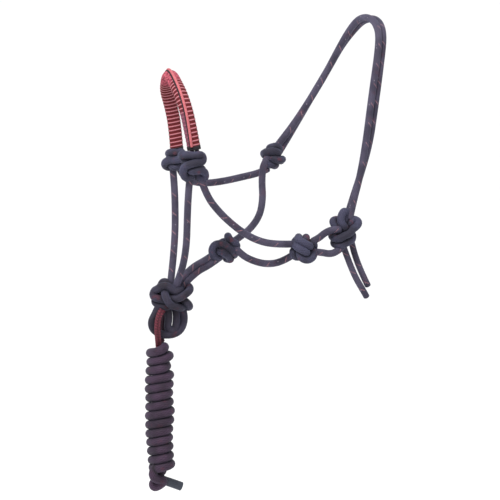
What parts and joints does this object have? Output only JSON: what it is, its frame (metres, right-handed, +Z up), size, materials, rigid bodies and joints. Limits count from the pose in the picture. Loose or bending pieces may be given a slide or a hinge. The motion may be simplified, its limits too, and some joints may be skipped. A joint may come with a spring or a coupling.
{
  "type": "rope halter",
  "caption": "Knotted rope halter for a horse, with a sleeved noseband, a tied crown strap and a lead rope wound into a hank below the chin knot.",
  "frame": {"origin": "underside of the crown strap where it rests on the poll, on the halter's middle", "axes": "+X towards the horse's rear, +Y towards its far (right) side, +Z up"},
  "size_m": [0.3182, 0.1798, 0.6246],
  "materials": {
    "halter_rope": "braided polyester rope, dark slate violet with pale pink tracer flecks",
    "lead_rope": "soft braided rope, plum grey",
    "eye_plait": "plaited cord, dark red and pink",
    "sleeve_stripe": "ribbed woven sleeve, maroon with pale pink cross ribs",
    "piping": "woven piping, coral",
    "binding_tape": "black woven tape"
  },
  "bodies": {
    "crown": {"crown_strand_front": "halter_rope", "crown_strand_rear": "halter_rope"},
    "headstall": {"nose_knot_far": "halter_rope", "nose_knot_near": "halter_rope", "cheek_knot_far": "halter_rope", "cheek_knot_near": "halter_rope", "throat_knot": "halter_rope", "fiador_knot": "halter_rope", "tie_knot": "halter_rope", "chin_rope_far": "halter_rope", "chin_rope_near": "halter_rope", "cheek_rope_far": "halter_rope", "cheek_rope_near": "halter_rope", "throat_rope_far": "halter_rope", "throat_rope_near": "halter_rope", "tie_loop_upper": "halter_rope", "tie_loop_lower": "halter_rope", "jaw_strand_upper": "halter_rope", "jaw_strand_lower": "halter_rope"},
    "noseband": {"nose_strand_front": "halter_rope", "nose_strand_rear": "halter_rope", "noseband_sleeve": "sleeve_stripe", "noseband_piping": "piping", "sleeve_binding_far": "binding_tape", "sleeve_binding_near": "binding_tape"},
    "lead_loop": {"loop_strand_outer": "halter_rope", "loop_strand_inner": "halter_rope"},
    "lead": {"lead_eye": "eye_plait", "lead_hank": "lead_rope", "lead_bight": "lead_rope", "lead_tail": "lead_rope"},
    "tail_near": {"crown_tail_near": "halter_rope"},
    "tail_far": {"crown_tail_far": "halter_rope"}
  },
  "joints": [
    {"name": "crown_tilt", "type": "hinge", "parent": "crown", "child": "headstall", "pos_m": [-0.109, 0.075, -0.181], "axis": [0.2901, -0.8191, -0.4949], "range_deg": [-30, 30]},
    {"name": "noseband_tilt", "type": "hinge", "parent": "headstall", "child": "noseband", "pos_m": [-0.256, 0, -0.182], "axis": [0, 1, 0], "range_deg": [-30, 30]},
    {"name": "loop_swing", "type": "hinge", "parent": "headstall", "child": "lead_loop", "pos_m": [-0.274, 0, -0.352], "axis": [0, 1, 0], "range_deg": [-12, 12]},
    {"name": "lead_swing", "type": "hinge", "parent": "lead_loop", "child": "lead", "pos_m": [-0.285, 0, -0.386], "axis": [1, 0, 0], "range_deg": [-18, 18]},
    {"name": "tail_near_swing", "type": "hinge", "parent": "headstall", "child": "tail_near", "pos_m": [-0.056, -0.071, -0.296], "axis": [0.9117, 0, 0.4108], "range_deg": [-30, 30]},
    {"name": "tail_far_swing", "type": "hinge", "parent": "headstall", "child": "tail_far", "pos_m": [-0.045, -0.066, -0.286], "axis": [0.9292, 0, 0.3697], "range_deg": [-30, 30]}
  ]
}
